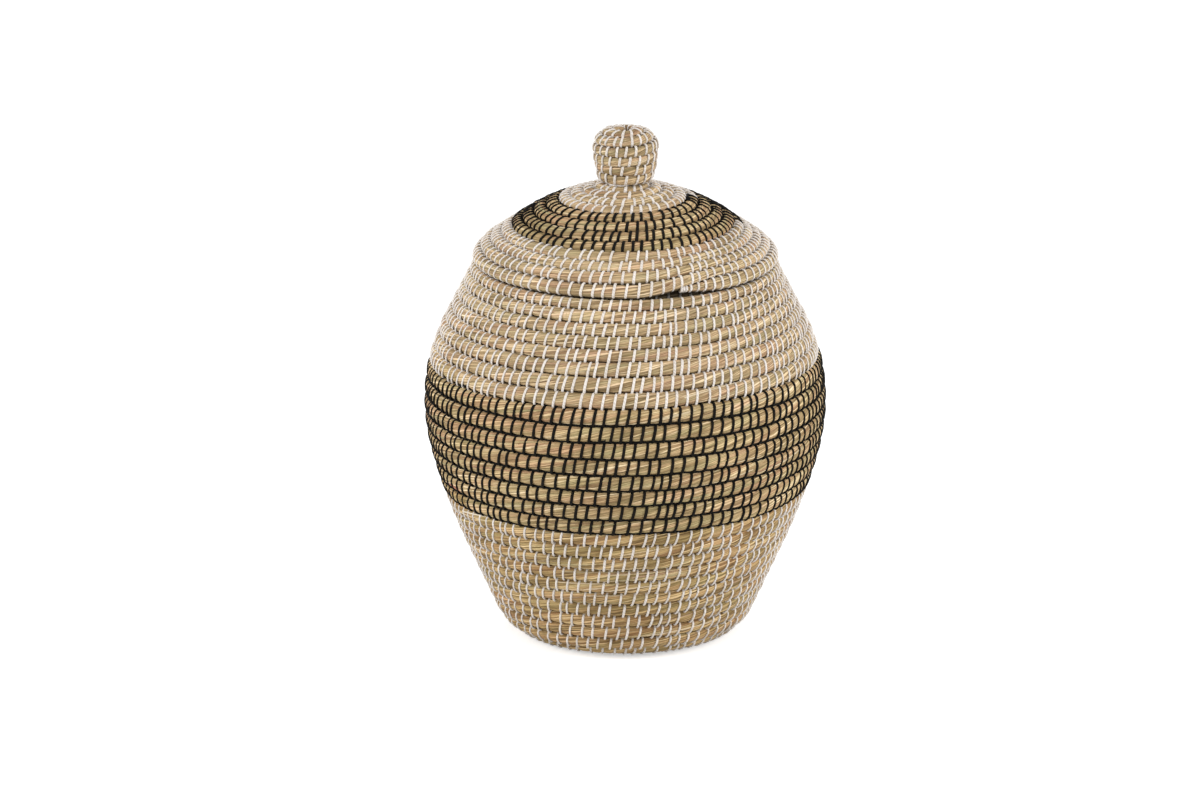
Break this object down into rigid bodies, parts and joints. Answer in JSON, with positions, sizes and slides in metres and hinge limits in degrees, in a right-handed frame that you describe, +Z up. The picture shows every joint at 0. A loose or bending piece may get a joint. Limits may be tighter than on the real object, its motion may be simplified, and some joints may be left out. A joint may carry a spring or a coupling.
{
  "type": "lidded seagrass basket",
  "caption": "Round belly-shaped basket of coiled seagrass with a domed lift-off lid, a coiled knob and dark-stitched bands.",
  "frame": {"origin": "centre of the base, on the surface that the basket stands on", "axes": "+Z up along the basket's axis, towards the knob; -Y is the front, where the tail of the lid's coil ends"},
  "size_m": [0.3193, 0.3193, 0.4129],
  "materials": {
    "seagrass_white_sewn": "dry straw-coloured seagrass bundle",
    "seagrass_black_sewn": "dry tan and olive seagrass bundle",
    "grass_stuffing": "loose grass offcuts",
    "white_string": "twisted matt white string",
    "black_string": "twisted matt black string"
  },
  "bodies": {
    "basket": {"base_coil": "seagrass_white_sewn", "lower_wall_coil": "seagrass_white_sewn", "black_band_coil": "seagrass_black_sewn", "upper_wall_coil": "seagrass_white_sewn"},
    "lid": {"lid_crown_coil": "seagrass_white_sewn", "lid_band_coil": "seagrass_black_sewn", "lid_brim_coil": "seagrass_white_sewn", "lid_locating_ring": "seagrass_white_sewn", "knob_coil": "seagrass_white_sewn", "knob_stuffing": "grass_stuffing"}
  },
  "joints": [
    {"name": "lid_lift", "type": "slide", "parent": "basket", "child": "lid", "axis": [0, 0, 1], "range_m": [0, 0.2]}
  ]
}
